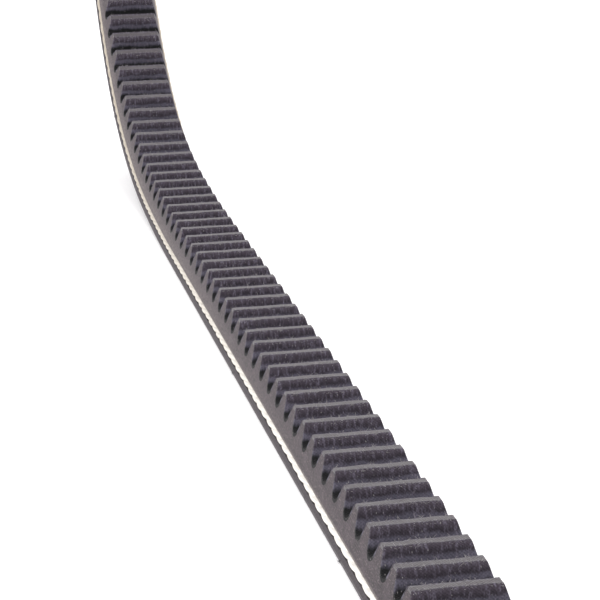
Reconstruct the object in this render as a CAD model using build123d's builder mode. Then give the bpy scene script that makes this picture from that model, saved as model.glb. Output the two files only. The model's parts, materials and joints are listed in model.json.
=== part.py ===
"""Raw-edge cogged V-belt: an endless wide-angle belt that stands on its back, with its cogs inside the loop.

The belt is six bonded layers. From the back they are a back fabric, tension rubber, tensile cords, cushion
rubber, compression rubber with moulded cogs, and a cog fabric. Each layer is cut across at eight notches, so
that the loop can flex, and each of those cuts is relieved about the cord line, which neither stretches nor
shortens. A ninth cut, square and with nothing to flex, is in the middle of the top run.

Millimetres. +X runs across the belt, +Y along its flat run, +Z up. The origin is under the middle of the
flat run, on the surface that the belt stands on. Angles are in degrees.
"""

import os
from math import asin, atan2, cos, degrees, hypot, radians, sin, tan

from build123d import *

# Section of the belt
top_width = 18.8
belt_height = 9.5
flank_angle = 12
back_fabric_thickness = 0.5
cord_depth = 2.1
cord_diameter = 1.5
cord_spacing = 1.75
cushion_thickness = 1.15
cog_fabric_thickness = 0.5

# Cogs and the notches between them
cog_pitch = 8
notch_depth = 3.5
notch_radius = 1.7
crest_radius = 0.8
crest_flat = 1.6

# Shape of the loop at rest: cogs in each stretch, and how far each stretch turns
flat_cogs = 36
lift_cogs = 6
lift_turn = 4
sweep_cogs = 6
sweep_turn = 12
shoulder_cogs = 8
shoulder_turn = 28
end_cogs = 19
end_joint_cogs = 5

# Cuts between links: the gap at the cord line, and the wedge taken off each side of a cut that flexes
cut_gap = 0.3
hinge_relief = 10.5
trim_margin = 1

# Heights over the cord line, positive towards the cogs
back_level = -cord_depth
fabric_level = back_level + back_fabric_thickness
cushion_level = cushion_thickness
crest_level = belt_height - cord_depth
root_level = crest_level - notch_depth

# Widths and cords
half_width_at_cords = top_width / 2 - cord_depth * tan(radians(flank_angle))
side_cords = int(half_width_at_cords / cord_spacing)
cord_places = [(turn * cord_spacing, 0) for turn in range(-side_cords, side_cords + 1)]

# Wall of a cog: the line that touches the round of the notch and the round of the crest
notch_centre = (-cog_pitch / 2, root_level + notch_radius)
crest_centre = (-crest_flat / 2, crest_level - crest_radius)
centres_apart = (crest_centre[0] - notch_centre[0], crest_centre[1] - notch_centre[1])
wall_angle = degrees(
    atan2(centres_apart[1], centres_apart[0])
    + asin((notch_radius + crest_radius) / hypot(*centres_apart))
)

# Stretches of each link, as (cogs, turn)
end_turn = 180 - 2 * (lift_turn + sweep_turn + shoulder_turn)
turn_per_end_cog = end_turn / end_cogs
middle_cogs = end_cogs - 2 * end_joint_cogs
rise = [(lift_cogs, lift_turn), (sweep_cogs, sweep_turn)]
full_run = [*rise[::-1], (flat_cogs, 0), *rise]
first_half_run = [*rise[::-1], (flat_cogs / 2, 0)]
last_half_run = [(flat_cogs / 2, 0), *rise]
opening_bend = [(shoulder_cogs, shoulder_turn), (end_joint_cogs, end_joint_cogs * turn_per_end_cog)]
end_bend = [(middle_cogs, middle_cogs * turn_per_end_cog)]
closing_bend = opening_bend[::-1]

# The links in order round the loop, with the wedge angle at the start and at the end of each
flexing = (hinge_relief, hinge_relief)
belt_links = [
    ("bottom_run", full_run, flexing),
    ("far_lower_bend", opening_bend, flexing),
    ("far_end_bend", end_bend, flexing),
    ("far_upper_bend", closing_bend, flexing),
    ("far_top_run", first_half_run, (hinge_relief, 0)),
    ("near_top_run", last_half_run, (0, hinge_relief)),
    ("near_upper_bend", opening_bend, flexing),
    ("near_end_bend", end_bend, flexing),
    ("near_lower_bend", closing_bend, flexing),
]


# Route of the cord line. A frame is (y, z, heading), and its height axis points to the inside of the loop.


def advance(frame, length, turn):
    """Frame at the end of a stretch of the cord line, which may be walked backwards."""
    y, z, heading = frame
    if turn == 0:
        return y + length * cos(radians(heading)), z + length * sin(radians(heading)), heading
    radius = length / radians(turn)
    after = heading + turn
    y += radius * (sin(radians(after)) - sin(radians(heading)))
    z += radius * (cos(radians(heading)) - cos(radians(after)))
    return y, z, after


def place(frame, along, height):
    """Point of the loop's plane at a distance along a frame and a height over its cord line."""
    y, z, heading = frame
    ahead, up = cos(radians(heading)), sin(radians(heading))
    return y + along * ahead - height * up, z + along * up + height * ahead


def lay_out(start, stretches):
    """Stretches of one link as (start frame, length, turn), and the frame where the link ends."""
    laid = []
    frame = start
    for cogs, turn in stretches:
        laid.append((frame, cogs * cog_pitch, turn))
        frame = advance(frame, cogs * cog_pitch, turn)
    return laid, frame


def frame_at(link, distance):
    """Frame at a distance along a link, carried on past its ends along the last stretch."""
    for start, length, turn in link:
        if distance <= length or (start, length, turn) == link[-1]:
            return advance(start, distance, turn * distance / length)
        distance -= length


# Building blocks of the layers


def half_width(height):
    """Half of the belt's width at a height over the cord line, between its cut flanks."""
    return half_width_at_cords - height * tan(radians(flank_angle))


def cross_plane(frame):
    """Plane square to the cord line, with its second axis towards the cogs."""
    y, z, heading = frame
    ahead = (0, cos(radians(heading)), sin(radians(heading)))
    return Plane(origin=(0, y, z), x_dir=(-1, 0, 0), z_dir=ahead)


def draw_band(low, high, mode=Mode.ADD):
    """Trapezoid of the V section between two heights over the cord line."""
    corners = [
        (-half_width(low), low),
        (half_width(low), low),
        (half_width(high), high),
        (-half_width(high), high),
    ]
    Polygon(*corners, align=None, mode=mode)


def plain_section(frame, low, high):
    """Section of a solid layer."""
    with BuildSketch(cross_plane(frame)) as layer:
        draw_band(low, high)
    return layer.sketch


def grooved_section(frame, low, high):
    """Section of a layer with a round groove for each tensile cord."""
    with BuildSketch(cross_plane(frame)) as layer:
        draw_band(low, high)
        with Locations(*cord_places):
            Circle(cord_diameter / 2, mode=Mode.SUBTRACT)
    return layer.sketch


def cord_section(frame):
    """Round cords side by side, the outer ones cut open by the flanks."""
    with BuildSketch(cross_plane(frame)) as cords:
        with Locations(*cord_places):
            Circle(cord_diameter / 2)
        draw_band(-cord_diameter, cord_diameter, mode=Mode.INTERSECT)
    return cords.sketch


def follow_link(link, draw_section, *levels):
    """Carries a section along every stretch of a link, in the open part."""
    for start, length, turn in link:
        outline = draw_section(start, *levels)
        if turn == 0:
            extrude(outline, amount=length)
        else:
            radius = length / radians(turn)
            y, z = place(start, 0, radius)
            revolve(outline, Axis((0, y, z), (1, 0, 0)), turn)


def relieve_ends(ends):
    """Cuts a gap and a wedge off both ends of a link, so that it can turn either way about the cord line."""
    reach = belt_height
    half_gap = cut_gap / 2
    for (frame, wedge_angle), inward in zip(ends, (1, -1)):
        lean = half_gap + reach * tan(radians(wedge_angle))
        wedge = [(half_gap, 0), (lean, reach), (-reach, reach), (-reach, -reach), (lean, -reach)]
        corners = [place(frame, inward * along, height) for along, height in wedge]
        with BuildSketch(Plane.YZ) as relief:
            Polygon(*corners, align=None)
        extrude(relief.sketch, amount=top_width, both=True, mode=Mode.SUBTRACT)


def wall_points(inset):
    """One wall of a cog in its own frame: foot, shoulder, middle of the crest's round, start of the flat."""
    slope, half_slope = radians(wall_angle), radians(wall_angle / 2)
    foot_radius = notch_radius + inset
    round_radius = crest_radius - inset
    foot = (notch_centre[0] + foot_radius * sin(slope), notch_centre[1] - foot_radius * cos(slope))
    shoulder = (crest_centre[0] - round_radius * sin(slope), crest_centre[1] + round_radius * cos(slope))
    middle = (
        crest_centre[0] - round_radius * sin(half_slope),
        crest_centre[1] + round_radius * cos(half_slope),
    )
    flat_start = (crest_centre[0], crest_centre[1] + round_radius)
    return foot, shoulder, middle, flat_start


def cog_line(link, cogs, inset):
    """Edges over the cogs of a link and one more at each end, as far inside the surface as the inset."""
    rising = wall_points(inset)
    falling = [(-along, height) for along, height in reversed(rising)]
    edges = []
    last_foot = None
    for cog in range(-1, cogs + 1):
        frame = frame_at(link, (cog + 0.5) * cog_pitch)
        foot, shoulder, middle, flat_start = [place(frame, *point) for point in rising]
        flat_end, far_middle, far_shoulder, far_foot = [place(frame, *point) for point in falling]
        if last_foot:
            notch_floor = place(frame_at(link, cog * cog_pitch), 0, root_level - inset)
            edges.append(Edge.make_three_point_arc(last_foot, notch_floor, foot))
        edges.append(Edge.make_line(foot, shoulder))
        edges.append(Edge.make_three_point_arc(shoulder, middle, flat_start))
        edges.append(Edge.make_line(flat_start, flat_end))
        edges.append(Edge.make_three_point_arc(flat_end, far_middle, far_shoulder))
        edges.append(Edge.make_line(far_shoulder, far_foot))
        last_foot = far_foot
    return edges


def outline_ends(link, cogs, inset):
    """First and last point of the line over the cogs."""
    foot = wall_points(inset)[0]
    first = place(frame_at(link, -0.5 * cog_pitch), *foot)
    last = place(frame_at(link, (cogs + 0.5) * cog_pitch), -foot[0], foot[1])
    return first, last


# The six layers


def make_back_fabric(link, ends):
    """Woven fabric on the back, which the belt stands on."""
    with BuildPart() as back_fabric:
        follow_link(link, plain_section, back_level, fabric_level)
        relieve_ends(ends)
    return back_fabric


def make_tension_rubber(link, ends):
    """Rubber between the back fabric and the cords, with the back half of every cord's groove."""
    with BuildPart() as tension_rubber:
        follow_link(link, grooved_section, fabric_level, 0)
        relieve_ends(ends)
    return tension_rubber


def make_tensile_cords(link, ends):
    """Turns of the twisted cord that carries the load, side by side across the belt."""
    with BuildPart() as tensile_cords:
        follow_link(link, cord_section)
        relieve_ends(ends)
    return tensile_cords


def make_cushion_rubber(link, ends):
    """Adhesion rubber that holds the cog side of every cord."""
    with BuildPart() as cushion_rubber:
        follow_link(link, grooved_section, 0, cushion_level)
        relieve_ends(ends)
    return cushion_rubber


def make_cog_band(link, ends):
    """V section of the cogs and of the body under them, which their side profile is cut to."""
    with BuildPart() as cog_band:
        follow_link(link, plain_section, cushion_level, crest_level + trim_margin)
        relieve_ends(ends)
    return cog_band


def make_compression_rubber(link, cogs, cog_band):
    """Body of the belt with the moulded cogs, cut to the V of the flanks."""
    first, last = outline_ends(link, cogs, cog_fabric_thickness)
    below = [place(frame_at(link, cog * cog_pitch), 0, 0) for cog in range(cogs, -1, -1)]
    corners = [last, *below, first]
    edges = cog_line(link, cogs, cog_fabric_thickness)
    edges += [Edge.make_line(start, end) for start, end in zip(corners, corners[1:])]
    with BuildPart() as compression_rubber:
        with BuildSketch(Plane.YZ):
            make_face(edges)
        extrude(amount=top_width, both=True)
        add(cog_band.part, mode=Mode.INTERSECT)
    return compression_rubber


def make_cog_fabric(link, cogs, cog_band):
    """Woven fabric that covers the cogs and the notches."""
    first, last = outline_ends(link, cogs, 0)
    inner_first, inner_last = outline_ends(link, cogs, cog_fabric_thickness)
    edges = cog_line(link, cogs, 0) + cog_line(link, cogs, cog_fabric_thickness)
    edges += [Edge.make_line(last, inner_last), Edge.make_line(inner_first, first)]
    with BuildPart() as cog_fabric:
        with BuildSketch(Plane.YZ):
            make_face(edges)
        extrude(amount=top_width, both=True)
        add(cog_band.part, mode=Mode.INTERSECT)
    return cog_fabric


# The loop, laid out from the middle of the flat run back to where the bottom run starts

os.makedirs("parts", exist_ok=True)
frame = (0, cord_depth, 0)
for cogs, turn in ((flat_cogs / 2, 0), (lift_cogs, lift_turn), (sweep_cogs, sweep_turn)):
    frame = advance(frame, -cogs * cog_pitch, -turn)

for link_name, stretches, wedges in belt_links:
    link, link_end = lay_out(frame, stretches)
    ends = [(frame, wedges[0]), (link_end, wedges[1])]
    cogs = int(sum(count for count, _ in stretches))
    cog_band = make_cog_band(link, ends)
    layers = {
        "back_fabric": make_back_fabric(link, ends),
        "tension_rubber": make_tension_rubber(link, ends),
        "tensile_cords": make_tensile_cords(link, ends),
        "cushion_rubber": make_cushion_rubber(link, ends),
        "compression_rubber": make_compression_rubber(link, cogs, cog_band),
        "cog_fabric": make_cog_fabric(link, cogs, cog_band),
    }
    for layer_name, layer in layers.items():
        layer.part.label = f"{link_name}_{layer_name}"
        export_step(layer.part, f"parts/{layer.part.label}.step")
    frame = link_end
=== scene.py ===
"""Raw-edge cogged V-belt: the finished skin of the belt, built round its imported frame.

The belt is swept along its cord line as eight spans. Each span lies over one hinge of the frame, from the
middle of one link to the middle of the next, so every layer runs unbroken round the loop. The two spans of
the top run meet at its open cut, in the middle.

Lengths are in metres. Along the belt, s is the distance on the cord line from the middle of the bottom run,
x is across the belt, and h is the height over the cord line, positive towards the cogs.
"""

import json
import math

import bpy
import numpy as np
from bpy.props import FloatProperty, FloatVectorProperty, IntProperty, PointerProperty
from mathutils import Matrix, Vector


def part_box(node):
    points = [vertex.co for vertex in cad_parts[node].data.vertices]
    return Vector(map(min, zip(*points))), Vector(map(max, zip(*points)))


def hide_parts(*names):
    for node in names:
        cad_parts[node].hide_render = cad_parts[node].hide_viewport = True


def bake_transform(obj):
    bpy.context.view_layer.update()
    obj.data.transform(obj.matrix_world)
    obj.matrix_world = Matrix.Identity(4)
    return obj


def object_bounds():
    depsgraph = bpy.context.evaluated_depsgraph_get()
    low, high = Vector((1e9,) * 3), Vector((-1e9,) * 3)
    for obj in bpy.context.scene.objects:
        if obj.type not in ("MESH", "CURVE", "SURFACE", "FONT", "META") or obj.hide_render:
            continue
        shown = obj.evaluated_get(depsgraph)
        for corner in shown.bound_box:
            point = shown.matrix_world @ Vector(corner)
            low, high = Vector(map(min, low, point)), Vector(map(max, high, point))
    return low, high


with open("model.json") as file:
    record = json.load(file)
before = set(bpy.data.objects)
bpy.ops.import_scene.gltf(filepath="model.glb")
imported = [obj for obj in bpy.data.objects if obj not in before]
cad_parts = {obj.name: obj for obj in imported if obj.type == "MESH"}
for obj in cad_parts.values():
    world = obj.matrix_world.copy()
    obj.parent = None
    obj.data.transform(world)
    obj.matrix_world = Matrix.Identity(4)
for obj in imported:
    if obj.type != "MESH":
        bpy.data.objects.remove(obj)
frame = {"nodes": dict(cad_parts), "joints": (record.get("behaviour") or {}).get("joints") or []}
cad_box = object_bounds()

bl_info = {
    "name": "Cogged V-belt",
    "version": (1, 0, 0),
    "blender": (4, 5, 0),
    "location": "3D View > Sidebar > V-belt",
    "description": "Builds the layers, cords, cogs and loose fibres of a raw-edge V-belt round its frame",
    "category": "Object",
}

MM = 0.001

# Values kept on the points of the meshes: the place in the belt's coordinates, the share of a cog's height,
# and how worn or exposed the point is; low on a cord's strands, it sets painted shade between the strands.
PLACE = "belt_place"
RISE = "cog_rise"
WEAR_AND_STRAND_SHADE = "wear"


# ---------------------------------------------------------------- sizes read from the frame

back_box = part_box("bottom_run_back_fabric")
tension_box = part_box("bottom_run_tension_rubber")
cord_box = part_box("bottom_run_tensile_cords")
cushion_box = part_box("bottom_run_cushion_rubber")


def top_of_flat_run(node):
    """Highest point of a bottom run's node within a few cogs of its middle, where the run is flat."""
    flat_reach = 20 * MM
    places = [vertex.co for vertex in frame["nodes"][node].data.vertices]
    return max(place.z for place in places if abs(place.y) < flat_reach)


CORD_LEVEL = cushion_box[0].z
BACK = back_box[0].z - CORD_LEVEL
FABRIC_TOP = tension_box[0].z - CORD_LEVEL
CREST = top_of_flat_run("bottom_run_cog_fabric") - CORD_LEVEL
COG_FABRIC = CREST + CORD_LEVEL - top_of_flat_run("bottom_run_compression_rubber")
CORD_RADIUS = CORD_LEVEL - cord_box[0].z
HALF_WIDTH = cushion_box[1].x
TAPER = (back_box[1].x - HALF_WIDTH) / -BACK


def half_width(height):
    """Half of the belt's width at a height over the cord line."""
    return HALF_WIDTH - height * TAPER


# ---------------------------------------------------------------- properties


def length_property(name, description, millimetres):
    """A length, given in millimetres and kept in metres."""
    return FloatProperty(name=name, description=description, default=millimetres * MM, unit="LENGTH")


def turn_property(name, description, degrees):
    """An angle, given in degrees and kept in radians."""
    return FloatProperty(name=name, description=description, default=math.radians(degrees), subtype="ANGLE")


def count_property(name, description, default, least=0):
    """A whole number."""
    return IntProperty(name=name, description=description, default=default, min=least)


def colour_property(name, description, default):
    """A colour that the panel shows as a swatch."""
    return FloatVectorProperty(name=name, description=description, default=default, subtype="COLOR", size=3)


class VBeltSizes(bpy.types.PropertyGroup):
    """Sizes of the cogs, the cords and the fabrics."""

    cog_pitch: length_property("Cog pitch", "Length on the cord line of one cog and one notch", 8)
    notch_depth: length_property("Notch depth", "Depth of a notch from the crest of a cog", 3.5)
    notch_radius: length_property("Notch radius", "Radius of the round at the bottom of a notch", 1.7)
    crest_radius: length_property("Crest radius", "Radius of the rounds at the crest of a cog", 0.8)
    crest_flat: length_property("Crest flat", "Length of the flat land on the crest of a cog", 1.6)
    cushion: length_property("Cushion thickness", "Height of the cushion rubber over the cord line", 1.15)
    cord_spacing: length_property(
        "Cord spacing", "Distance between neighbouring cords across the belt", 1.75
    )
    cord_lay: length_property(
        "Cord lay", "Length in which a strand of a cord turns once, rounded to fit the loop", 14.4
    )
    strand_radius: length_property("Strand radius", "Radius of one of the three strands of a cord", 0.51)
    edge_inset: length_property(
        "Edge cord inset", "Depth of an edge cord's middle inside the cut flank", 0.5
    )
    fabric_roll: length_property(
        "Fabric roll", "Radius that the cog fabric is worn to along the edges of the crests", 0.14
    )
    crest_lumps: length_property("Crest lumps", "Height of the uneven swellings along the crests", 0.1)
    fibre_length: length_property("Fibre length", "Longest loose fibre on the crests", 0.9)
    crest_fibres: count_property("Crest fibres", "Number of loose fibres on each cog", 46)
    edge_fibres: count_property(
        "Edge fibres", "Number of loose fibres on the back's edges beside each cog", 10
    )


class VBeltLoop(bpy.types.PropertyGroup):
    """Shape of the loop at rest: the cogs in each stretch of a quarter, and how far each stretch turns."""

    flat_cogs: count_property("Flat cogs", "Cogs in each straight run", 36, least=2)
    lift_cogs: count_property("Lift cogs", "Cogs in the faint bend next to a run", 6)
    sweep_cogs: count_property("Sweep cogs", "Cogs in the wide bend after the lift", 6)
    shoulder_cogs: count_property("Shoulder cogs", "Cogs in the bend before an end", 8)
    end_cogs: count_property("End cogs", "Cogs in the round end of the loop", 19)
    lift_turn: turn_property("Lift turn", "Turn of the faint bend", 4)
    sweep_turn: turn_property("Sweep turn", "Turn of the wide bend", 12)
    shoulder_turn: turn_property("Shoulder turn", "Turn of the bend before an end", 28)


class VBeltColours(bpy.types.PropertyGroup):
    """Colours of the belt's materials and of the floor."""

    # Painted shade: near-black fabric low in the notches, where the notch's shade falls.
    painted_notch_shade: colour_property("Cog valley", "Cog fabric in the notches", (0.003, 0.003, 0.004))
    cog_wall: colour_property("Cog wall", "Bluish cog fabric low on the walls", (0.08, 0.073, 0.1))
    # Painted shade: the dark band half way up the cog walls, where the notch's shade falls.
    painted_wall_shade: colour_property("Cog band", "Dark band half way up the walls", (0.026, 0.02, 0.029))
    cog_shoulder: colour_property("Cog shoulder", "Cog fabric just under the crests", (0.044, 0.034, 0.047))
    cog_thread: colour_property("Cog thread", "Lighter threads of the cog fabric", (0.14, 0.122, 0.165))
    cog_crest: colour_property("Cog crest", "Worn nap on the crests", (0.05, 0.038, 0.045))
    flank: colour_property("Flank", "Ground rubber of the flanks", (0.055, 0.041, 0.049))
    flank_grain: colour_property("Flank grain", "Short fibres in the ground rubber", (0.19, 0.155, 0.16))
    flank_dust: colour_property("Flank dust", "Dust of the cords on the flanks", (0.195, 0.165, 0.165))
    cushion: colour_property("Cushion", "Adhesion rubber beside the cords", (0.36, 0.32, 0.3))
    cord: colour_property("Cord", "Strands of the cords", (0.95, 0.92, 0.87))
    cord_aged: colour_property("Aged cord", "Strands where dust has yellowed them", (0.5, 0.43, 0.33))
    # Also the colour of the painted shade in the gaps between the strands.
    cord_shade: colour_property("Cord shade", "Rubber between the filaments of a strand", (0.5, 0.44, 0.39))
    back: colour_property("Back", "Fabric on the back", (0.05, 0.041, 0.048))
    back_thread: colour_property("Back thread", "Lighter threads of the back fabric", (0.14, 0.12, 0.135))
    fibre: colour_property("Fibre", "Loose fibres on the crests", (0.32, 0.3, 0.3))
    dark_fibre: colour_property("Dark fibre", "Loose fibres on the back's edges", (0.05, 0.045, 0.05))
    floor: colour_property("Floor", "Plain pale floor", (0.95, 0.94, 0.945))


# ---------------------------------------------------------------- the loop


class CordLine:
    """The closed cord line, made of stretches of even bend."""

    rounding = 1e-9

    def __init__(self, sizes, loop):
        self.pitch = sizes.cog_pitch
        end_turn = math.pi - 2 * (loop.lift_turn + loop.sweep_turn + loop.shoulder_turn)
        quarter = [
            (loop.flat_cogs / 2, 0),
            (loop.lift_cogs, loop.lift_turn),
            (loop.sweep_cogs, loop.sweep_turn),
            (loop.shoulder_cogs, loop.shoulder_turn),
            (loop.end_cogs / 2, end_turn / 2),
        ]
        self.stretches = []
        start = (0, CORD_LEVEL, 0)
        passed = 0
        for cogs, turn in 2 * (quarter + quarter[::-1]):
            length = cogs * self.pitch
            self.stretches.append((passed, length, turn, start))
            y, z, heading = self.walk(start, turn / length, np.array(length))
            start = (float(y), float(z), float(heading))
            passed += length
        self.length = passed
        self.cogs = round(passed / self.pitch)

    @staticmethod
    def walk(start, bend, distance):
        """Place and heading at a distance from a start, on a stretch with an even bend."""
        y, z, heading = start
        if bend == 0:
            ahead, up = distance * math.cos(heading), distance * math.sin(heading)
            return y + ahead, z + up, heading + 0 * distance
        after = heading + bend * distance
        ahead = (np.sin(after) - math.sin(heading)) / bend
        up = (math.cos(heading) - np.cos(after)) / bend
        return y + ahead, z + up, after

    def frames(self, along):
        """Arrays of y, z and heading at distances along the cord line."""
        along = np.asarray(along, float)
        y, z, heading = (np.zeros(along.shape) for _ in range(3))
        for passed, length, turn, start in self.stretches:
            inside = (along >= passed - self.rounding) & (along <= passed + length + self.rounding)
            y[inside], z[inside], heading[inside] = self.walk(start, turn / length, along[inside] - passed)
        return y, z, heading

    def bent(self, along, height):
        """Points that follow the bend of the cord line, as y and z."""
        y, z, heading = self.frames(along)
        return y - height * np.sin(heading), z + height * np.cos(heading)

    def stiff(self, cog, along, height):
        """Points that keep to the straight frame of their own cog, as y and z."""
        y, z, heading = self.frames((cog + 0.5) * self.pitch)
        ahead, up = np.cos(heading), np.sin(heading)
        return y + along * ahead - height * up, z + along * up + height * ahead

    def point(self, along):
        """Point of the cord line in the frame's space."""
        y, z, _ = self.frames(np.array([along]))
        return (0, float(y[0]), float(z[0]))


class Span:
    """A length of the belt that lies over one hinge, between the middles of two links.

    It keeps a reach on each side of its hinge, which is shorter on a side where the next hinge is near.
    """

    bend_reach = 40 * MM
    short_reach = 24 * MM
    cut_cog = 95
    cut_clearance = 0.04 * MM

    def __init__(self, name, cogs, before, after, hinge_cog, short_side=None):
        self.name = name
        self.first_cog, self.last_cog = cogs
        self.before, self.after = before, after
        self.hinge_cog = hinge_cog
        self.reach_before = self.short_reach if short_side == "before" else self.bend_reach
        self.reach_after = self.short_reach if short_side == "after" else self.bend_reach

    def dress(self, builder, line, material, name, slot, is_layer=True):
        """Makes a span's piece over its hinge. A layer's piece stands for the two links' nodes."""
        title = f"{self.name}_{name}"
        mesh = builder.finish(title, material)
        hinge = self.hinge_cog * line.pitch
        if self.cut_cog in (self.first_cog, self.last_cog):
            self.clear_cut(mesh, math.copysign(1, line.point(hinge)[1]))
        piece = bpy.data.objects.new(title, mesh)
        bpy.context.scene.collection.objects.link(piece)
        start = line.point(hinge - self.reach_before)
        end = line.point(hinge + self.reach_after)
        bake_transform(piece)
        if is_layer:
            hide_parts(f"{self.before}_{name}", f"{self.after}_{name}")
        return piece

    def clear_cut(self, mesh, side):
        """Keeps a span on its own side of the cut, a hair's breadth away, so that the ends never touch."""
        for vertex in mesh.vertices:
            if side * vertex.co.y < self.cut_clearance:
                vertex.co.y = side * self.cut_clearance


SPANS = [
    Span("far_lower", (0, 36), "bottom_run", "far_lower_bend", 30),
    Span("far_end_lower", (36, 47), "far_lower_bend", "far_end_bend", 43, "after"),
    Span("far_end_upper", (47, 59), "far_end_bend", "far_upper_bend", 52, "before"),
    Span("far_upper", (59, 95), "far_upper_bend", "far_top_run", 65),
    Span("near_upper", (95, 131), "near_top_run", "near_upper_bend", 125),
    Span("near_end_upper", (131, 143), "near_upper_bend", "near_end_bend", 138, "after"),
    Span("near_end_lower", (143, 154), "near_end_bend", "near_lower_bend", 147, "before"),
    Span("near_lower", (154, 190), "near_lower_bend", "bottom_run", 160),
]
HINGES = {f"{span.name}_flex": span.hinge_cog for span in SPANS}


def cord_line():
    """The cord line for the sizes in the panel, checked against the hinges of the frame."""
    tolerance = 0.2 * MM
    scene = bpy.context.scene
    line = CordLine(scene.vbelt_sizes, scene.vbelt_loop)
    if line.cogs != SPANS[-1].last_cog:
        raise RuntimeError(f"the loop has {line.cogs} cogs, but its spans need {SPANS[-1].last_cog}")
    for joint in frame["joints"]:
        place = Vector(line.point(HINGES[joint["name"]] * line.pitch))
        if (place - Vector(joint["pos_m"])).length > tolerance:
            raise RuntimeError(f"hinge {joint['name']} isn't on the cord line")
    return line


# ---------------------------------------------------------------- meshes


def smooth_step(value):
    """Eases 0 to 1, and holds outside that."""
    value = np.clip(value, 0, 1)
    return value * value * (3 - 2 * value)


def lumps(along, across, period, cell, seed):
    """Smooth noise from -1 to 1, which joins up with itself after a period along the belt."""
    rows, middle_row = 97, 40
    cells = max(1, round(period / cell[0]))
    table = np.random.default_rng(seed).uniform(-1, 1, (cells, rows))
    u = np.asarray(along) / period * cells
    v = np.asarray(across) / cell[1] + middle_row
    column, row = np.floor(u).astype(int), np.floor(v).astype(int)
    right, up = smooth_step(u - column), smooth_step(v - row)

    def corner(step_along, step_across):
        return table[(column + step_along) % cells, (row + step_across) % rows]

    low = corner(0, 0) * (1 - right) + corner(1, 0) * right
    high = corner(0, 1) * (1 - right) + corner(1, 1) * right
    return low * (1 - up) + high * up


class MeshBuilder:
    """Gathers rings and fibres into one mesh, with the belt's own coordinates kept on its points."""

    sharp_angle = math.radians(42)

    def __init__(self):
        self.points, self.places, self.rises, self.wears = [], [], [], []
        self.faces = []
        self.count = 0

    def add_points(self, points, places, rise=0.0, wear=0.0):
        """Adds points and their belt coordinates, and returns the number of the first."""
        points = np.asarray(points, float).reshape(-1, 3)
        first = self.count
        self.points.append(points)
        self.places.append(np.asarray(places, float).reshape(-1, 3))
        self.rises.append(np.broadcast_to(np.asarray(rise, float).reshape(-1), len(points)))
        self.wears.append(np.broadcast_to(np.asarray(wear, float).reshape(-1), len(points)))
        self.count += len(points)
        return first

    def add_tube(self, points, places, rise=0.0, wear=0.0):
        """Adds a closed tube of rings, shaped (rings, points of a ring, 3), with an end cap on each end."""
        rings, around = points.shape[:2]
        first = self.add_points(points, places, rise, wear)
        numbers = first + np.arange(rings * around).reshape(rings, around)
        onward = np.roll(numbers, -1, axis=1)
        quads = np.stack([numbers[:-1], onward[:-1], onward[1:], numbers[1:]], axis=-1)
        self.faces.extend(quads.reshape(-1, 4).tolist())
        self.faces.append(numbers[0][::-1].tolist())
        self.faces.append(numbers[-1].tolist())

    def finish(self, name, material):
        """The finished mesh, smooth shaded except where it folds sharply."""
        mesh = bpy.data.meshes.new(name)
        mesh.from_pydata(np.concatenate(self.points).tolist(), [], self.faces)
        mesh.validate()
        for title, kind, values in (
            (PLACE, "FLOAT_VECTOR", np.concatenate(self.places)),
            (RISE, "FLOAT", np.concatenate(self.rises)),
            (WEAR_AND_STRAND_SHADE, "FLOAT", np.concatenate(self.wears)),
        ):
            attribute = mesh.attributes.new(title, kind, "POINT")
            key = "vector" if kind == "FLOAT_VECTOR" else "value"
            attribute.data.foreach_set(key, values.astype(np.float32).ravel())
        mesh.polygons.foreach_set("use_smooth", np.ones(len(mesh.polygons), bool))
        mesh.set_sharp_from_angle(angle=self.sharp_angle)
        mesh.materials.append(material)
        return mesh


def steps_along(line, span, step):
    """Evenly spaced distances on the cord line, from one end of a span to the other."""
    first, last = span.first_cog * line.pitch, span.last_cog * line.pitch
    return np.linspace(first, last, round((last - first) / step) + 1)


def sweep_section(builder, line, span, section, step=2 * MM):
    """Sweeps a closed section of (x, h) points along a span, square to the cord line."""
    along = steps_along(line, span, step)
    across, height = np.array(section).T
    s, x = np.meshgrid(along, across, indexing="ij")
    h = np.broadcast_to(height, s.shape)
    y, z = line.bent(s, h)
    builder.add_tube(np.stack([x, y, z], -1), np.stack([s, x, h], -1))


def cord_centres(sizes):
    """Places of the cords across the belt, from one flank to the other."""
    side_cords = int(HALF_WIDTH / sizes.cord_spacing)
    return [turn * sizes.cord_spacing for turn in range(-side_cords, side_cords + 1)]


def groove_points(sizes, side):
    """Edge of a rubber layer along the cord line, with a round groove for every cord, from +x to -x.

    Side is +1 for the layer on the cog side of the cords and -1 for the layer behind them.
    """
    flank_margin = 0.05 * MM
    points = []
    for centre in reversed(cord_centres(sizes)):
        for eighth in range(5):
            turn = math.pi * eighth / 4
            x = centre + CORD_RADIUS * math.cos(turn)
            h = side * CORD_RADIUS * math.sin(turn)
            if abs(x) < half_width(h) - flank_margin:
                points.append((x, h))
    return points


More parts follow.
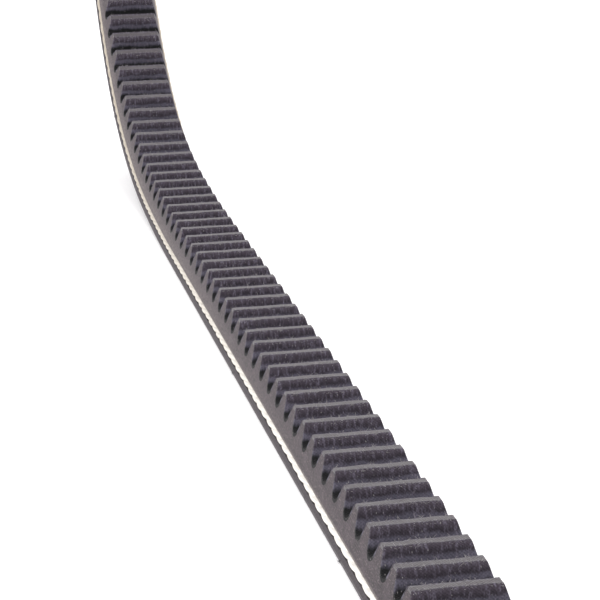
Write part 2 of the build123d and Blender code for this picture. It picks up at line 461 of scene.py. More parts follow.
class CogOutline:
    """Side profile of one cog and half a notch at each side of it, as points with outward normals."""

    round_points = 6

    def __init__(self, sizes):
        self.root = CREST - sizes.notch_depth
        notch_a, notch_h = -sizes.cog_pitch / 2, self.root + sizes.notch_radius
        crest_a, crest_h = -sizes.crest_flat / 2, CREST - sizes.crest_radius
        apart = math.hypot(crest_a - notch_a, crest_h - notch_h)
        slope = math.atan2(crest_h - notch_h, crest_a - notch_a)
        slope += math.asin((sizes.notch_radius + sizes.crest_radius) / apart)
        self.foot = notch_h - sizes.notch_radius * math.cos(slope)
        rows = self.arc(notch_a, notch_h, sizes.notch_radius, 0, slope)
        foot = rows[-1]
        shoulder_a = crest_a - sizes.crest_radius * math.sin(slope)
        shoulder_h = crest_h + sizes.crest_radius * math.cos(slope)
        for part in (0.25, 0.5, 0.75):
            a = foot[0] + part * (shoulder_a - foot[0])
            h = foot[1] + part * (shoulder_h - foot[1])
            rows.append((a, h, foot[2], foot[3]))
        rows += self.arc(crest_a, crest_h, -sizes.crest_radius, slope, 0)
        rows.append((crest_a / 2, CREST, 0, 1))
        middle = [(0, CREST, 0, 1)]
        mirrored = [(-a, h, -normal_a, normal_h) for a, h, normal_a, normal_h in reversed(rows)]
        profile = np.array(rows + middle + mirrored)
        self.along, self.height, self.normal_along, self.normal_height = profile.T
        steps = np.hypot(np.diff(self.along), np.diff(self.height))
        self.path = np.concatenate([[0], np.cumsum(steps)])

    def arc(self, along, height, radius, start, end):
        """Points of a round and their normals. A negative radius is for a round that bulges outward."""
        turns = [(math.sin(turn), math.cos(turn)) for turn in np.linspace(start, end, self.round_points)]
        return [(along + radius * sine, height - radius * cosine, -sine, cosine) for sine, cosine in turns]

    def columns(self, span):
        """Profile of every cog of a span in one row: cog, place, height, normal and path length."""
        cogs = np.arange(span.first_cog, span.last_cog)
        per_cog = len(self.along) - 1

        def tile(values):
            return np.append(np.tile(values[:-1], len(cogs)), values[-1])

        cog = np.append(np.repeat(cogs, per_cog), cogs[-1])
        path = tile(self.path) + cog * self.path[-1]
        along, height = tile(self.along), tile(self.height)
        return cog, along, height, tile(self.normal_along), tile(self.normal_height), path

    def place(self, line, cog, along, height):
        """Points that bend with the belt under the notches and keep to their own cog above them."""
        bent_y, bent_z = line.bent((cog + 0.5) * line.pitch + along, height)
        stiff_y, stiff_z = line.stiff(cog, along, height)
        share = smooth_step((height - self.root) / (self.foot - self.root))
        return bent_y + share * (stiff_y - bent_y), bent_z + share * (stiff_z - bent_z)


def across_rows(edge_steps, inner_count):
    """Places across the belt, from +x to -x, as (share of the half width, distance in from the flank)."""
    inner = np.linspace(1, -1, inner_count + 2)[1:-1]
    rows = [(1, step) for step in edge_steps]
    rows += [(share, None) for share in inner]
    rows += [(-1, step) for step in reversed(edge_steps)]
    return rows


# ---------------------------------------------------------------- materials


class Finish:
    """A procedural material, whose patterns follow the belt's own coordinates."""

    def __init__(self, name, roughness, sheen=0.0):
        self.material = bpy.data.materials.new(name)
        self.material.use_nodes = True
        self.nodes = self.material.node_tree.nodes
        self.links = self.material.node_tree.links
        self.shader = self.nodes["Principled BSDF"]
        self.shader.inputs["Roughness"].default_value = roughness
        self.shader.inputs["Specular IOR Level"].default_value = 0.3
        self.shader.inputs["Sheen Weight"].default_value = sheen
        self.shader.inputs["Sheen Roughness"].default_value = 0.6

    def feed(self, socket, value):
        """Links or sets one input."""
        if isinstance(value, bpy.types.NodeSocket):
            self.links.new(value, socket)
        elif isinstance(value, (tuple, list)) and len(value) == 3 and socket.type == "RGBA":
            socket.default_value = (*value, 1)
        else:
            socket.default_value = value

    def attribute(self, name):
        """A value kept on the mesh's points."""
        node = self.nodes.new("ShaderNodeAttribute")
        node.attribute_name = name
        return node.outputs["Vector"] if name == PLACE else node.outputs["Fac"]

    def math(self, operation, first, second=0.0, clamp=False):
        """One sum."""
        node = self.nodes.new("ShaderNodeMath")
        node.operation = operation
        node.use_clamp = clamp
        for socket, value in zip(node.inputs, (first, second)):
            self.feed(socket, value)
        return node.outputs[0]

    def stretch(self, scale, shift=(0, 0, 0)):
        """The belt's coordinates, scaled to cells per metre along, across and up."""
        node = self.nodes.new("ShaderNodeVectorMath")
        node.operation = "MULTIPLY_ADD"
        self.feed(node.inputs[0], self.attribute(PLACE))
        node.inputs[1].default_value = scale
        node.inputs[2].default_value = shift
        return node.outputs["Vector"]

    def noise(self, cell, shift=(0, 0, 0), detail=2.0, roughness=0.5):
        """Noise whose cells have a given size along, across and up the belt, as 0 to 1."""
        node = self.nodes.new("ShaderNodeTexNoise")
        self.feed(node.inputs["Vector"], self.stretch([1 / size for size in cell], shift))
        node.inputs["Scale"].default_value = 1
        node.inputs["Detail"].default_value = detail
        node.inputs["Roughness"].default_value = roughness
        return node.outputs["Fac"]

    def waves(self, direction, wander=0.0):
        """A sine with a given count of waves per metre along, across and up, as -1 to 1."""
        node = self.nodes.new("ShaderNodeVectorMath")
        node.operation = "DOT_PRODUCT"
        self.feed(node.inputs[0], self.attribute(PLACE))
        node.inputs[1].default_value = [2 * math.pi * count for count in direction]
        return self.math("SINE", self.math("ADD", node.outputs["Value"], wander))

    def height(self):
        """Height over the cord line."""
        node = self.nodes.new("ShaderNodeSeparateXYZ")
        self.feed(node.inputs[0], self.attribute(PLACE))
        return node.outputs["Z"]

    def grime(self, start):
        """Slow change round the loop: 0 at a start on the cord line, 1 furthest from it, and 0 again."""
        loop = bpy.context.scene.vbelt_sizes.cog_pitch * SPANS[-1].last_cog
        turns = 2 / loop
        return self.span(self.waves((turns, 0, 0), -2 * math.pi * turns * start - math.pi / 2), -1, 1)

    def span(self, value, low, high, out_low=0.0, out_high=1.0):
        """Maps a range of a value to another range, and holds outside it."""
        node = self.nodes.new("ShaderNodeMapRange")
        self.feed(node.inputs["Value"], value)
        node.inputs["From Min"].default_value = low
        node.inputs["From Max"].default_value = high
        node.inputs["To Min"].default_value = out_low
        node.inputs["To Max"].default_value = out_high
        return node.outputs["Result"]

    def mix(self, share, first, second):
        """A colour between two others."""
        node = self.nodes.new("ShaderNodeMix")
        node.data_type = "RGBA"
        self.feed(node.inputs[0], share)
        self.feed(node.inputs[6], first)
        self.feed(node.inputs[7], second)
        return node.outputs[2]

    def shade(self, colour, factor):
        """A colour made darker or lighter by a factor."""
        node = self.nodes.new("ShaderNodeVectorMath")
        node.operation = "SCALE"
        self.feed(node.inputs[0], colour)
        self.feed(node.inputs["Scale"], factor)
        return node.outputs["Vector"]

    def vary(self, colour, pattern, low, high, dark, light):
        """A colour shaded between two factors by a range of a pattern."""
        return self.shade(colour, self.span(pattern, low, high, dark, light))

    def paint(self, colour, relief, depth, roughness=None):
        """Gives the shader its colour, a relief of a depth in metres, and a pattern of roughness."""
        self.feed(self.shader.inputs["Base Color"], colour)
        bump = self.nodes.new("ShaderNodeBump")
        bump.inputs["Strength"].default_value = 1
        bump.inputs["Distance"].default_value = depth
        self.feed(bump.inputs["Height"], relief)
        self.feed(self.shader.inputs["Normal"], bump.outputs["Normal"])
        if roughness is not None:
            self.feed(self.shader.inputs["Roughness"], roughness)
        return self.material


def cog_fabric_finish(colours, name, sheen):
    """Stretch weave over cogs: painted shade in notches and mid-wall, streaked walls, napped crests."""
    finish = Finish(name, roughness=0.88, sheen=sheen)
    rise = finish.attribute(RISE)
    wear = finish.attribute(WEAR_AND_STRAND_SHADE)
    streaks = finish.noise((2.2 * MM, 0.55 * MM, 9 * MM), detail=3, roughness=0.6)
    threads = finish.noise((0.5 * MM, 0.3 * MM, 5 * MM), (3, 7, 0), detail=1)
    patches = finish.noise((3.5 * MM, 4 * MM, 9 * MM), (11, 5, 0), detail=2)
    wander = finish.math("MULTIPLY", patches, 7.0)
    warp = finish.waves((0, 1 / (0.62 * MM), 0), wander)
    weft = finish.waves((1 / (0.5 * MM), 0, 0), wander)
    weave = finish.math("MULTIPLY", warp, weft)
    level = finish.math("ADD", rise, finish.span(streaks, 0.3, 0.7, -0.07, 0.07))
    level = finish.math("ADD", level, finish.span(patches, 0.3, 0.7, -0.08, 0.08))
    # Painted shade: near black low in the notches, under the bluish lower walls.
    colour = finish.mix(finish.span(level, 0.2, 0.4), colours.painted_notch_shade[:], colours.cog_wall[:])
    # Painted shade: a dark band half way up the walls.
    colour = finish.mix(finish.span(level, 0.52, 0.64), colour, colours.painted_wall_shade[:])
    colour = finish.mix(finish.span(level, 0.7, 0.84), colour, colours.cog_shoulder[:])
    light = finish.span(streaks, 0.47, 0.7)
    light = finish.math("MULTIPLY", light, finish.span(threads, 0.35, 0.6, 0.2, 1.0))
    light = finish.math("MULTIPLY", light, finish.span(level, 0.26, 0.48, 0.0, 0.85))
    colour = finish.mix(light, colour, colours.cog_thread[:])
    colour = finish.vary(colour, weave, -1, 1, 0.85, 1.15)
    nap = finish.noise((0.35 * MM, 0.5 * MM, 0.5 * MM), (1, 2, 3), detail=3, roughness=0.65)
    colour = finish.vary(colour, nap, 0.3, 0.7, 0.75, 1.25)
    napped = finish.math("ADD", wear, finish.span(nap, 0.3, 0.7, -0.5, 0.4))
    colour = finish.mix(finish.span(napped, 0.25, 1.0), colour, colours.cog_crest[:])
    flecks = finish.noise((0.5 * MM, 0.3 * MM, 0.9 * MM), (31, 17, 5), detail=0)
    colour = finish.mix(finish.span(flecks, 0.77, 0.81, 0.0, 0.5), colour, colours.fibre[:])
    relief = finish.math("ADD", finish.math("MULTIPLY", weave, 0.3), finish.math("MULTIPLY", streaks, 1.2))
    relief = finish.math("ADD", relief, nap)
    return finish.paint(colour, relief, 0.09 * MM, finish.span(nap, 0.2, 0.8, 0.78, 0.98))


def flank_finish(colours):
    """Rubber that is ground to the V of the flanks, with short fibres showing in it."""
    finish = Finish("Body rubber", roughness=0.8, sheen=0.08)
    grain = finish.noise((0.9 * MM, 0.5 * MM, 0.35 * MM), detail=4, roughness=0.7)
    fibres = finish.noise((0.6 * MM, 0.3 * MM, 0.2 * MM), (5, 9, 2), detail=1)
    patches = finish.noise((5 * MM, 6 * MM, 1.8 * MM), (2, 1, 7), detail=3)
    colour = finish.vary(colours.flank[:], patches, 0.32, 0.68, 0.76, 1.24)
    colour = finish.vary(colour, grain, 0.3, 0.7, 0.55, 1.45)
    colour = finish.mix(finish.span(fibres, 0.58, 0.72, 0.0, 0.75), colour, colours.flank_grain[:])
    low_down = finish.span(finish.height(), 1.2 * MM, 4.4 * MM, 0.75, 0.1)
    dust = finish.math("MULTIPLY", low_down, finish.grime(-0.12))
    dust = finish.math("MULTIPLY", dust, finish.span(grain, 0.35, 0.65, 0.1, 1.5), clamp=True)
    colour = finish.mix(dust, colour, colours.flank_dust[:])
    marks = finish.waves((0, 0, 1 / (0.42 * MM)), finish.math("MULTIPLY", patches, 9.0))
    relief = finish.math("ADD", grain, finish.math("MULTIPLY", marks, 0.12))
    return finish.paint(colour, relief, 0.1 * MM, finish.span(grain, 0.2, 0.8, 0.7, 0.92))


def cushion_finish(colours):
    """Paler adhesion rubber, dusty from the grinding of the cords."""
    finish = Finish("Cushion rubber", roughness=0.78, sheen=0.08)
    grain = finish.noise((0.8 * MM, 0.35 * MM, 0.2 * MM), (4, 2, 8), detail=4, roughness=0.7)
    dust = finish.span(finish.height(), 0.55 * MM, 1.2 * MM, 1.0, 0.0)
    dust = finish.math("ADD", dust, finish.span(grain, 0.2, 0.8, -0.4, 0.4), clamp=True)
    colour = finish.mix(dust, colours.flank[:], colours.cushion[:])
    colour = finish.vary(colour, grain, 0.25, 0.75, 0.85, 1.15)
    return finish.paint(colour, grain, 0.07 * MM, finish.span(grain, 0.2, 0.8, 0.68, 0.88))


def tension_finish(colours):
    """Dark rubber between the cords and the back."""
    finish = Finish("Back rubber", roughness=0.8, sheen=0.08)
    grain = finish.noise((0.7 * MM, 0.35 * MM, 0.2 * MM), (6, 3, 1), detail=4, roughness=0.7)
    slant = finish.waves((1 / (1.1 * MM), 0, 1 / (0.9 * MM)), finish.math("MULTIPLY", grain, 5.0))
    colour = finish.mix(finish.span(grain, 0.35, 0.85), colours.back[:], colours.flank[:])
    colour = finish.vary(colour, slant, -1, 1, 0.85, 1.15)
    return finish.paint(colour, grain, 0.09 * MM, finish.span(grain, 0.2, 0.8, 0.7, 0.9))


def cord_finish(colours):
    """Twisted strands of fine filaments with rubber caught between them, and painted shade between the
    strands.
    """
    finish = Finish("Cord", roughness=0.62, sheen=0.15)
    filaments = finish.noise((2.4 * MM, 0.09 * MM, 0.09 * MM), detail=2, roughness=0.6)
    stains = finish.noise((1.8 * MM, 0.8 * MM, 0.8 * MM), (9, 4, 2), detail=3)
    shade = finish.span(filaments, 0.34, 0.56, 0.3, 0.0)
    shade = finish.math("ADD", shade, finish.span(stains, 0.58, 0.76, 0.0, 0.35), clamp=True)
    # Painted shade: the strands darken towards the cord's middle, in the gaps where they press together.
    wear = finish.attribute(WEAR_AND_STRAND_SHADE)
    shade = finish.math("MAXIMUM", shade, finish.span(wear, 0.0, 0.35, 0.6, 0.0))
    age = finish.math("MULTIPLY", finish.grime(-0.09), finish.span(stains, 0.3, 0.7, 0.75, 1.0))
    strand = finish.mix(age, colours.cord[:], colours.cord_aged[:])
    colour = finish.mix(shade, strand, colours.cord_shade[:])
    return finish.paint(colour, filaments, 0.05 * MM, finish.span(stains, 0.2, 0.8, 0.5, 0.75))


def back_fabric_finish(colours):
    """Bias-laid square weave of the back, pressed into its rubber."""
    finish = Finish("Back fabric", roughness=0.85, sheen=0.2)
    wander = finish.math("MULTIPLY", finish.noise((6 * MM, 5 * MM, 9 * MM), detail=2), 4.0)
    pitch = 1 / (1.1 * MM)
    warp = finish.waves((pitch, pitch, 0), wander)
    weft = finish.waves((pitch, -pitch, 0), wander)
    weave = finish.math("MULTIPLY", warp, weft)
    grain = finish.noise((0.35 * MM, 0.35 * MM, 0.3 * MM), (7, 7, 1), detail=3, roughness=0.65)
    patches = finish.noise((14 * MM, 9 * MM, 9 * MM), (1, 5, 0), detail=3)
    colour = finish.mix(finish.span(weave, -0.2, 1.0, 0.0, 0.75), colours.back[:], colours.back_thread[:])
    colour = finish.vary(colour, grain, 0.25, 0.75, 0.7, 1.3)
    colour = finish.vary(colour, patches, 0.3, 0.7, 0.82, 1.18)
    relief = finish.math("ADD", finish.math("MULTIPLY", weave, 0.6), grain)
    return finish.paint(colour, relief, 0.12 * MM, finish.span(grain, 0.2, 0.8, 0.76, 0.95))


def fibre_finish(colours):
    """Loose fibres, light on the crests and dark on the back's edges."""
    finish = Finish("Fibre", roughness=0.8, sheen=0.2)
    tint = finish.noise((0.6 * MM, 0.6 * MM, 0.6 * MM), detail=1)
    colour = finish.mix(finish.attribute(WEAR_AND_STRAND_SHADE), colours.dark_fibre[:], colours.fibre[:])
    colour = finish.vary(colour, tint, 0.3, 0.7, 0.7, 1.3)
    return finish.paint(colour, tint, 0.02 * MM)


def floor_finish(colours):
    """Plain pale floor, faintly mottled and lit a little from below."""
    finish = Finish("Floor", roughness=0.9)
    place = finish.nodes.new("ShaderNodeTexCoord").outputs["Object"]
    node = finish.nodes.new("ShaderNodeTexNoise")
    finish.feed(node.inputs["Vector"], place)
    node.inputs["Scale"].default_value = 40
    colour = finish.vary(colours.floor[:], node.outputs["Fac"], 0.3, 0.7, 0.995, 1.005)
    glow = 0.22
    finish.shader.inputs["Emission Color"].default_value = (*colours.floor, 1)
    finish.shader.inputs["Emission Strength"].default_value = glow
    return finish.paint(colour, node.outputs["Fac"], 0.01 * MM)


# ---------------------------------------------------------------- operators


def lay(name, slot, material, fill, is_layer=True):
    """Lays a piece over every span. Fill puts a span's part of it into a mesh builder."""
    line = cord_line()
    pieces = []
    for span in SPANS:
        builder = MeshBuilder()
        fill(builder, line, span)
        pieces.append(span.dress(builder, line, material, name, slot, is_layer))
    return pieces


def lay_section(name, slot, material, section):
    """Lays a layer that has one section all round the belt."""
    lay(name, slot, material, lambda builder, line, span: sweep_section(builder, line, span, section))


class VBELT_OT_back_fabric(bpy.types.Operator):
    """Woven fabric on the back of the belt"""

    bl_idname = "vbelt.back_fabric"
    bl_label = "Back fabric"

    def execute(self, context):
        material = back_fabric_finish(context.scene.vbelt_colours)
        round_off = 0.12 * MM
        section = []
        for side in (1, -1):
            corner = [
                (side * (half_width(BACK) - 2 * round_off), BACK),
                (side * (half_width(BACK) - 0.6 * round_off), BACK + 0.25 * round_off),
                (side * half_width(BACK + round_off), BACK + round_off),
                (side * half_width(FABRIC_TOP), FABRIC_TOP),
            ]
            section += corner if side > 0 else corner[::-1]
        lay_section("back_fabric", "back_fabric", material, section)
        return {"FINISHED"}


class VBELT_OT_tension_rubber(bpy.types.Operator):
    """Rubber between the back fabric and the cords"""

    bl_idname = "vbelt.tension_rubber"
    bl_label = "Tension rubber"

    def execute(self, context):
        sizes = context.scene.vbelt_sizes
        material = tension_finish(context.scene.vbelt_colours)
        lip = -0.69 * MM
        section = [(-half_width(FABRIC_TOP), FABRIC_TOP), (half_width(FABRIC_TOP), FABRIC_TOP)]
        section += [(half_width(lip), lip), *groove_points(sizes, -1), (-half_width(lip), lip)]
        lay_section("tension_rubber", "back_rubber", material, section)
        return {"FINISHED"}


class VBELT_OT_tensile_cords(bpy.types.Operator):
    """Cords that carry the load, with the cut edge cords twisted from three strands"""

    bl_idname = "vbelt.tensile_cords"
    bl_label = "Tensile cords"
    strands = 3
    strand_sides = 8
    strand_step = 0.8 * MM
    hidden_cord_step = 4 * MM

    def execute(self, context):
        sizes = context.scene.vbelt_sizes
        material = cord_finish(context.scene.vbelt_colours)

        def fill(builder, line, span):
            for centre in cord_centres(sizes)[1:-1]:
                turns = [math.pi * eighth / 4 for eighth in range(8)]
                section = [(centre + CORD_RADIUS * math.cos(t), CORD_RADIUS * math.sin(t)) for t in turns]
                sweep_section(builder, line, span, section, self.hidden_cord_step)
            for side in (1, -1):
                for strand in range(self.strands):
                    self.lay_strand(builder, line, span, sizes, side, strand)

        lay("tensile_cords", "cord", material, fill)
        return {"FINISHED"}

    def lay_strand(self, builder, line, span, sizes, side, strand):
        """Lays one strand of an edge cord, which swells and thins a little as it turns."""
        along = steps_along(line, span, self.strand_step)
        turns = round(line.length / sizes.cord_lay)
        twist = 2 * math.pi * (turns * along / line.length + strand / self.strands)
        swell = lumps(along, 0 * along, line.length, (5 * MM, MM), 20 + 3 * strand + side)
        helix = sizes.strand_radius * 0.63
        radius = sizes.strand_radius * (1 + 0.1 * swell)
        cord_x = side * (HALF_WIDTH - sizes.edge_inset)
        middle_x = cord_x + helix * np.cos(twist)
        middle_h = helix * np.sin(twist)
        around = np.linspace(0, 2 * math.pi, self.strand_sides, endpoint=False)
        x = middle_x[:, None] + radius[:, None] * np.cos(around)
        h = middle_h[:, None] + radius[:, None] * np.sin(around)
        s = np.broadcast_to(along[:, None], x.shape)
        y, z = line.bent(s, h)
        girth = sizes.strand_radius * np.broadcast_to(around + 2 * strand, x.shape)
        from_middle = np.hypot(x - cord_x, h)
        places = np.stack([s, girth, 0 * s + strand * MM], -1)
        # Share of the strand that lies out from the cord's middle; the cord's material paints shade where
        # it is low.
        outside = smooth_step((from_middle / sizes.strand_radius - 0.9) / 0.9)
        builder.add_tube(np.stack([x, y, z], -1), places, wear=outside)


class VBELT_OT_cushion_rubber(bpy.types.Operator):
    """Adhesion rubber over the cords"""

    bl_idname = "vbelt.cushion_rubber"
    bl_label = "Cushion rubber"

    def execute(self, context):
        sizes = context.scene.vbelt_sizes
        material = cushion_finish(context.scene.vbelt_colours)
        lip = 0.73 * MM
        section = [(-half_width(sizes.cushion), sizes.cushion), (-half_width(lip), lip)]
        section += groove_points(sizes, 1)[::-1]
        section += [(half_width(lip), lip), (half_width(sizes.cushion), sizes.cushion)]
        lay_section("cushion_rubber", "cushion_rubber", material, section)
        return {"FINISHED"}


class VBELT_OT_compression_rubber(bpy.types.Operator):
    """Body of the belt with the moulded cogs"""

    bl_idname = "vbelt.compression_rubber"
    bl_label = "Compression rubber"
    flank_rows = 7

    def execute(self, context):
        sizes = context.scene.vbelt_sizes
        material = flank_finish(context.scene.vbelt_colours)
        outline = CogOutline(sizes)
        shares = np.linspace(0, 1, self.flank_rows)
        side = np.concatenate([np.ones(self.flank_rows), -np.ones(self.flank_rows)])

        def fill(builder, line, span):
            cog, along, height, normal_along, normal_height, _ = outline.columns(span)
            top = height - COG_FABRIC * normal_height
            lean = along - COG_FABRIC * normal_along
            h = sizes.cushion + (top - sizes.cushion)[:, None] * shares
            a = along[:, None] + (lean - along)[:, None] * shares
            h = np.concatenate([h, h[:, ::-1]], axis=1)
            a = np.concatenate([a, a[:, ::-1]], axis=1)
            x = side * half_width(h)
            y, z = outline.place(line, cog[:, None], a, h)
            s = (cog[:, None] + 0.5) * line.pitch + a
            builder.add_tube(np.stack([x, y, z], -1), np.stack([s, x, h], -1))

        lay("compression_rubber", "body_rubber", material, fill)
        return {"FINISHED"}


class VBELT_OT_cog_fabric(bpy.types.Operator):
    """Woven fabric over the cogs and the notches"""

    bl_idname = "vbelt.cog_fabric"
    bl_label = "Cog fabric"
    edge_steps = (0, 0.03 * MM, 0.08 * MM, 0.16 * MM, 0.5 * MM)
    inner_rows = 22
    napped_wear = 0.3

    def execute(self, context):
        sizes = context.scene.vbelt_sizes
        colours = context.scene.vbelt_colours
        fabric = cog_fabric_finish(colours, "Cog fabric", sheen=0.05)
        nap = cog_fabric_finish(colours, "Cog crest nap", sheen=0.32)
        outline = CogOutline(sizes)
        rows = across_rows(self.edge_steps, self.inner_rows)

        def fill(builder, line, span):
            self.cover(builder, line, span, sizes, outline, rows)

        for piece in lay("cog_fabric", "cog_fabric", fabric, fill):
            self.raise_nap(piece.data, nap)
        return {"FINISHED"}

    def raise_nap(self, mesh, nap):
        """Gives the crests their worn nap."""
        mesh.materials.append(nap)
        wear = np.zeros(len(mesh.vertices))
        mesh.attributes[WEAR_AND_STRAND_SHADE].data.foreach_get("value", wear)
        for face in mesh.polygons:
            if len(face.vertices) == 4 and wear[list(face.vertices)].mean() > self.napped_wear:
                face.material_index = 1

    def cover(self, builder, line, span, sizes, outline, rows):
        """Covers the cogs of a span, rolled over at the flanks and uneven along the crests."""
        cog, along, height, normal_along, normal_height, path = outline.columns(span)
        rise = np.clip((height - outline.root) / (CREST - outline.root), 0, 1)
        wear = smooth_step((sizes.crest_flat / 2 - np.abs(along)) / (0.5 * MM))
        roll = sizes.fabric_roll * smooth_step((rise - 0.05) / 0.5)
        insets, distances, shares = [], [], []
        for share, step in rows:
            shares.append(share)
            distances.append(0 if step is None else step)
            if step is None:
                insets.append(0 * rise)
            else:
                within = np.clip(roll - step, 0, None)
                insets.append(roll - np.sqrt(np.clip(roll**2 - within**2, 0, None)))
        insets += [np.full(rise.shape, COG_FABRIC)] * 2
        distances += [0, 0]
        shares += [-1, 1]
        inset = np.stack(insets, 1)
        share, distance = np.array(shares), np.array(distances)
        outer = np.arange(len(shares)) < len(rows)
        rough_x = share * (half_width(height)[:, None] - distance)
        rough_s = path[:, None] + 0 * rough_x
        once_round = line.cogs * outline.path[-1]
        swell = lumps(rough_s, rough_x, once_round, (1.3 * MM, 1.7 * MM), 5)
        ripple = lumps(rough_s, rough_x, once_round, (0.7 * MM, 0.9 * MM), 6)
        uneven = sizes.crest_lumps * (0.2 + 0.8 * rise[:, None]) * (0.65 * swell + 0.35 * ripple)
        inset = inset - np.where(outer, np.clip(uneven, -sizes.crest_lumps, 0.6 * sizes.crest_lumps), 0)
        inset = np.clip(inset, None, COG_FABRIC)
        a = along[:, None] - inset * normal_along[:, None]
        h = height[:, None] - inset * normal_height[:, None]
        x = share * (half_width(h) - distance)
        y, z = outline.place(line, cog[:, None] + 0 * share, a, h)
        places = np.stack([path[:, None] + 0 * x, x, inset], -1)
        points = np.stack([x, y, z], -1)[:, ::-1]
        rises = np.broadcast_to(rise[:, None], x.shape)[:, ::-1]
        wears = np.broadcast_to(wear[:, None], x.shape)[:, ::-1]
        builder.add_tube(points, places[:, ::-1], rises, wears)


class VBELT_OT_loose_fibres(bpy.types.Operator):
    """Fine fibres that stand off the crests and off the edges of the back"""

    bl_idname = "vbelt.loose_fibres"
    bl_label = "Loose fibres"
    crest_fibre_radius = 0.028 * MM
    edge_fibre_radius = 0.035 * MM
    tuft_share = 0.12
    curl = 0.45

    def execute(self, context):
        sizes = context.scene.vbelt_sizes
        material = fibre_finish(context.scene.vbelt_colours)
        random = np.random.default_rng(12)

        def fill(builder, line, span):
            self.grow_on_crests(builder, line, span, sizes, random)
            self.grow_on_edges(builder, line, span, sizes, random)

        lay("loose_fibres", "cog_fabric", material, fill, is_layer=False)
        return {"FINISHED"}

    def grow_on_crests(self, builder, line, span, sizes, random):
        """Scatters light fibres along both rounds of every crest."""
        cogs = np.arange(span.first_cog, span.last_cog)
        count = len(cogs) * sizes.crest_fibres
        cog = np.repeat(cogs, sizes.crest_fibres)
        turn = random.uniform(-0.2, 0.9, count)
        side = np.where(random.random(count) < 0.7, -1, 1)
        a = side * (sizes.crest_flat / 2 + sizes.crest_radius * np.sin(turn))
        h = CREST - sizes.crest_radius * (1 - np.cos(turn))
        x = random.uniform(-1, 1, count) * (half_width(CREST) - 0.1 * MM)
        length = sizes.fibre_length * random.uniform(0.3, 1, count)
        lean_x = random.normal(0, 0.75, count)
        lean_a = side * np.sin(turn) + random.normal(0, 0.35, count)
        lean_h = np.cos(turn) * random.uniform(0.2, 0.8, count)
        lean = (lean_x, lean_a, lean_h)
        self.grow(builder, line, random, cog, a, h, x, lean, length, self.crest_fibre_radius, light=1.0)

    def grow_on_edges(self, builder, line, span, sizes, random):
        """Scatters dark fibres along the edges of the back fabric, some of them in tufts."""
        cogs = np.arange(span.first_cog, span.last_cog)
        count = len(cogs) * sizes.edge_fibres
        cog = np.repeat(cogs, sizes.edge_fibres)
        a = random.uniform(-0.5, 0.5, count) * line.pitch
        tuft = np.repeat(random.random(len(cogs)) < self.tuft_share, sizes.edge_fibres)
        gathered = np.repeat(random.uniform(-0.45, 0.45, len(cogs)) * line.pitch, sizes.edge_fibres)
        a = np.where(tuft, gathered + random.normal(0, 0.25 * MM, count), a)
        tuft_side = np.repeat(np.where(random.random(len(cogs)) < 0.5, -1, 1), sizes.edge_fibres)
        side = np.where(tuft, tuft_side, np.where(random.random(count) < 0.5, -1, 1))
        h = BACK + random.uniform(0.12, 0.5, count) * MM
        x = side * (half_width(h) - 0.06 * MM)
        length = np.where(tuft, 0.85, 0.4) * MM * random.uniform(0.5, 1, count)
        lean_x = side * random.uniform(0.5, 1, count)
        lean_a = random.normal(0, 0.6, count)
        lean_h = random.uniform(-0.05, 0.45, count)
        lean = (lean_x, lean_a, lean_h)
        self.grow(builder, line, random, cog, a, h, x, lean, length, self.edge_fibre_radius, light=0.0)

    def grow(self, builder, line, random, cog, a, h, x, lean, length, radius, light):
        """Adds curved, tapering fibres of three sides."""
        y, z, heading = line.frames((cog + 0.5) * line.pitch)
        ahead, up = np.cos(heading), np.sin(heading)
        base = np.stack([x, y + a * ahead - h * up, z + a * up + h * ahead], -1)
        lean_x, lean_a, lean_h = lean
        direction = np.stack([lean_x, lean_a * ahead - lean_h * up, lean_a * up + lean_h * ahead], -1)
        direction /= np.linalg.norm(direction, axis=1, keepdims=True)
        curl = random.normal(0, self.curl, direction.shape)
        curl -= direction * np.sum(curl * direction, axis=1, keepdims=True)
        length = length[:, None]
        middle = base + direction * length * 0.5
        tip = base + (direction + 0.5 * curl) * length
        side = np.cross(direction, np.array([0.31, 0.52, 0.79]))
        side /= np.linalg.norm(side, axis=1, keepdims=True)
        other = np.cross(direction, side)
        start = base - direction * 0.12 * MM
        corners = []
        for centre, share in ((start, 1.0), (middle, 0.8)):
            for corner in range(3):
                turn = 2 * math.pi * corner / 3
                corners.append(centre + share * radius * (side * math.cos(turn) + other * math.sin(turn)))
        points = np.stack([*corners, tip], axis=1)
        s = (cog + 0.5) * line.pitch + a
        places = np.broadcast_to(np.stack([s, x, h], -1)[:, None], points.shape)
        first = builder.add_points(points, places, rise=1.0, wear=light)
        pattern = [(2, 1, 0), (0, 1, 4, 3), (1, 2, 5, 4), (2, 0, 3, 5), (3, 4, 6), (4, 5, 6), (5, 3, 6)]
        for fibre in range(len(points)):
            start_at = first + points.shape[1] * fibre
            builder.faces.extend([start_at + corner for corner in face] for face in pattern)


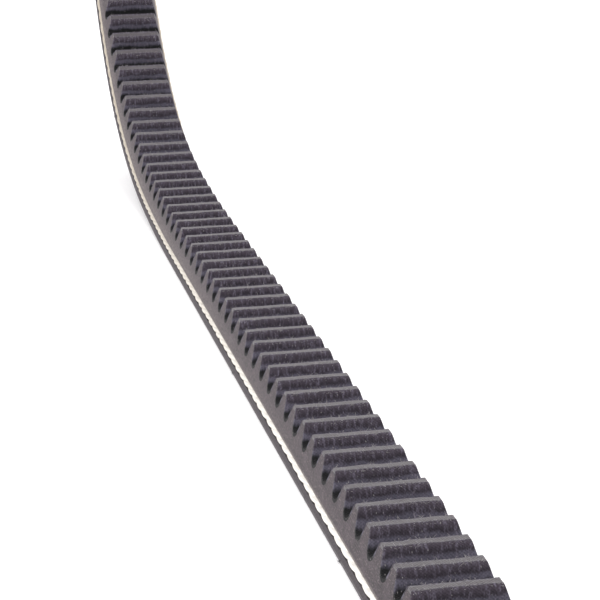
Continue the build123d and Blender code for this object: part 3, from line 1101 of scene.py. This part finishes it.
class VBELT_OT_stage(bpy.types.Operator):
    """Floor, soft light and camera"""

    bl_idname = "vbelt.stage"
    bl_label = "Stage"
    floor_reach = 6.0
    floor_gap = 0.05 * MM
    surroundings = 1.2
    lamps = (
        ("key", (0.9, 0.7, 1.5), 1.2, 7),
        ("fill", (-1.2, -0.9, 1.1), 1.2, 5),
    )
    camera_place = (-0.0721, -0.3240, 0.1241)
    camera_angles = (15.86, 11.48, 0.69)
    camera_lens = 120

    def execute(self, context):
        scene = context.scene
        self.lay_floor(scene)
        self.light(scene)
        self.set_camera(scene)
        scene.view_settings.view_transform = "Standard"
        return {"FINISHED"}

    def lay_floor(self, scene):
        """A wide floor just under the back of the flat run."""
        mesh = bpy.data.meshes.new("floor")
        reach, level = self.floor_reach, cad_box[0][2] - self.floor_gap
        corners = [(x * reach, y * reach, level) for x, y in ((-1, -1), (1, -1), (1, 1), (-1, 1))]
        mesh.from_pydata(corners, [], [(0, 1, 2, 3)])
        mesh.materials.append(floor_finish(scene.vbelt_colours))
        floor = bpy.data.objects.new("floor", mesh)
        scene.collection.objects.link(floor)

    def light(self, scene):
        """Even white surroundings, and two large soft lamps that face the belt from above."""
        world = bpy.data.worlds.new("Studio")
        world.use_nodes = True
        background = world.node_tree.nodes["Background"]
        background.inputs["Color"].default_value = (1, 1, 1, 1)
        background.inputs["Strength"].default_value = self.surroundings
        scene.world = world
        for name, place, size, power in self.lamps:
            data = bpy.data.lights.new(name, "AREA")
            data.shape = "SQUARE"
            data.size = size
            data.energy = power
            lamp = bpy.data.objects.new(name, data)
            scene.collection.objects.link(lamp)
            lamp.location = place
            lamp.rotation_euler = (Vector((0, 0, 0)) - Vector(place)).to_track_quat("-Z", "Y").to_euler()

    def set_camera(self, scene):
        """Looks along the flat run and down on it, from behind its near end, with a slight roll."""
        elevation, azimuth, roll = (math.radians(angle) for angle in self.camera_angles)
        ahead = Vector((
            math.sin(azimuth) * math.cos(elevation),
            math.cos(azimuth) * math.cos(elevation),
            -math.sin(elevation),
        ))
        right = Vector((math.cos(azimuth), -math.sin(azimuth), 0))
        down = ahead.cross(right)
        turned_right = right * math.cos(roll) + down * math.sin(roll)
        turned_down = down * math.cos(roll) - right * math.sin(roll)
        data = bpy.data.cameras.new("camera")
        data.lens = self.camera_lens
        data.sensor_width = 36
        data.clip_start = 0.01
        camera = bpy.data.objects.new("camera", data)
        scene.collection.objects.link(camera)
        axes = Matrix((turned_right, -turned_down, -ahead)).transposed()
        camera.matrix_world = Matrix.Translation(self.camera_place) @ axes.to_4x4()
        scene.camera = camera


PIECE_OPERATORS = (
    VBELT_OT_back_fabric,
    VBELT_OT_tension_rubber,
    VBELT_OT_tensile_cords,
    VBELT_OT_cushion_rubber,
    VBELT_OT_compression_rubber,
    VBELT_OT_cog_fabric,
    VBELT_OT_loose_fibres,
    VBELT_OT_stage,
)


class VBELT_PT_panel(bpy.types.Panel):
    """Sizes, colours and pieces of the belt"""

    bl_idname = "VBELT_PT_panel"
    bl_label = "Cogged V-belt"
    bl_space_type = "VIEW_3D"
    bl_region_type = "UI"
    bl_category = "V-belt"

    def draw(self, context):
        scene = context.scene
        for group in (scene.vbelt_sizes, scene.vbelt_loop, scene.vbelt_colours):
            box = self.layout.box()
            for name in group.__annotations__:
                box.prop(group, name)
        for operator in PIECE_OPERATORS:
            self.layout.operator(operator.bl_idname)


CLASSES = (VBeltSizes, VBeltLoop, VBeltColours, *PIECE_OPERATORS, VBELT_PT_panel)


def register():
    """Registers the properties, operators and panel."""
    for each in CLASSES:
        bpy.utils.register_class(each)
    bpy.types.Scene.vbelt_sizes = PointerProperty(type=VBeltSizes)
    bpy.types.Scene.vbelt_loop = PointerProperty(type=VBeltLoop)
    bpy.types.Scene.vbelt_colours = PointerProperty(type=VBeltColours)


def unregister():
    """Takes them away again."""
    del bpy.types.Scene.vbelt_colours
    del bpy.types.Scene.vbelt_loop
    del bpy.types.Scene.vbelt_sizes
    for each in reversed(CLASSES):
        bpy.utils.unregister_class(each)


def main():
    """Builds every piece and the stage."""
    register()
    bpy.ops.vbelt.back_fabric()
    bpy.ops.vbelt.tension_rubber()
    bpy.ops.vbelt.tensile_cords()
    bpy.ops.vbelt.cushion_rubber()
    bpy.ops.vbelt.compression_rubber()
    bpy.ops.vbelt.cog_fabric()
    bpy.ops.vbelt.loose_fibres()
    bpy.ops.vbelt.stage()


if __name__ == "__main__":
    main()
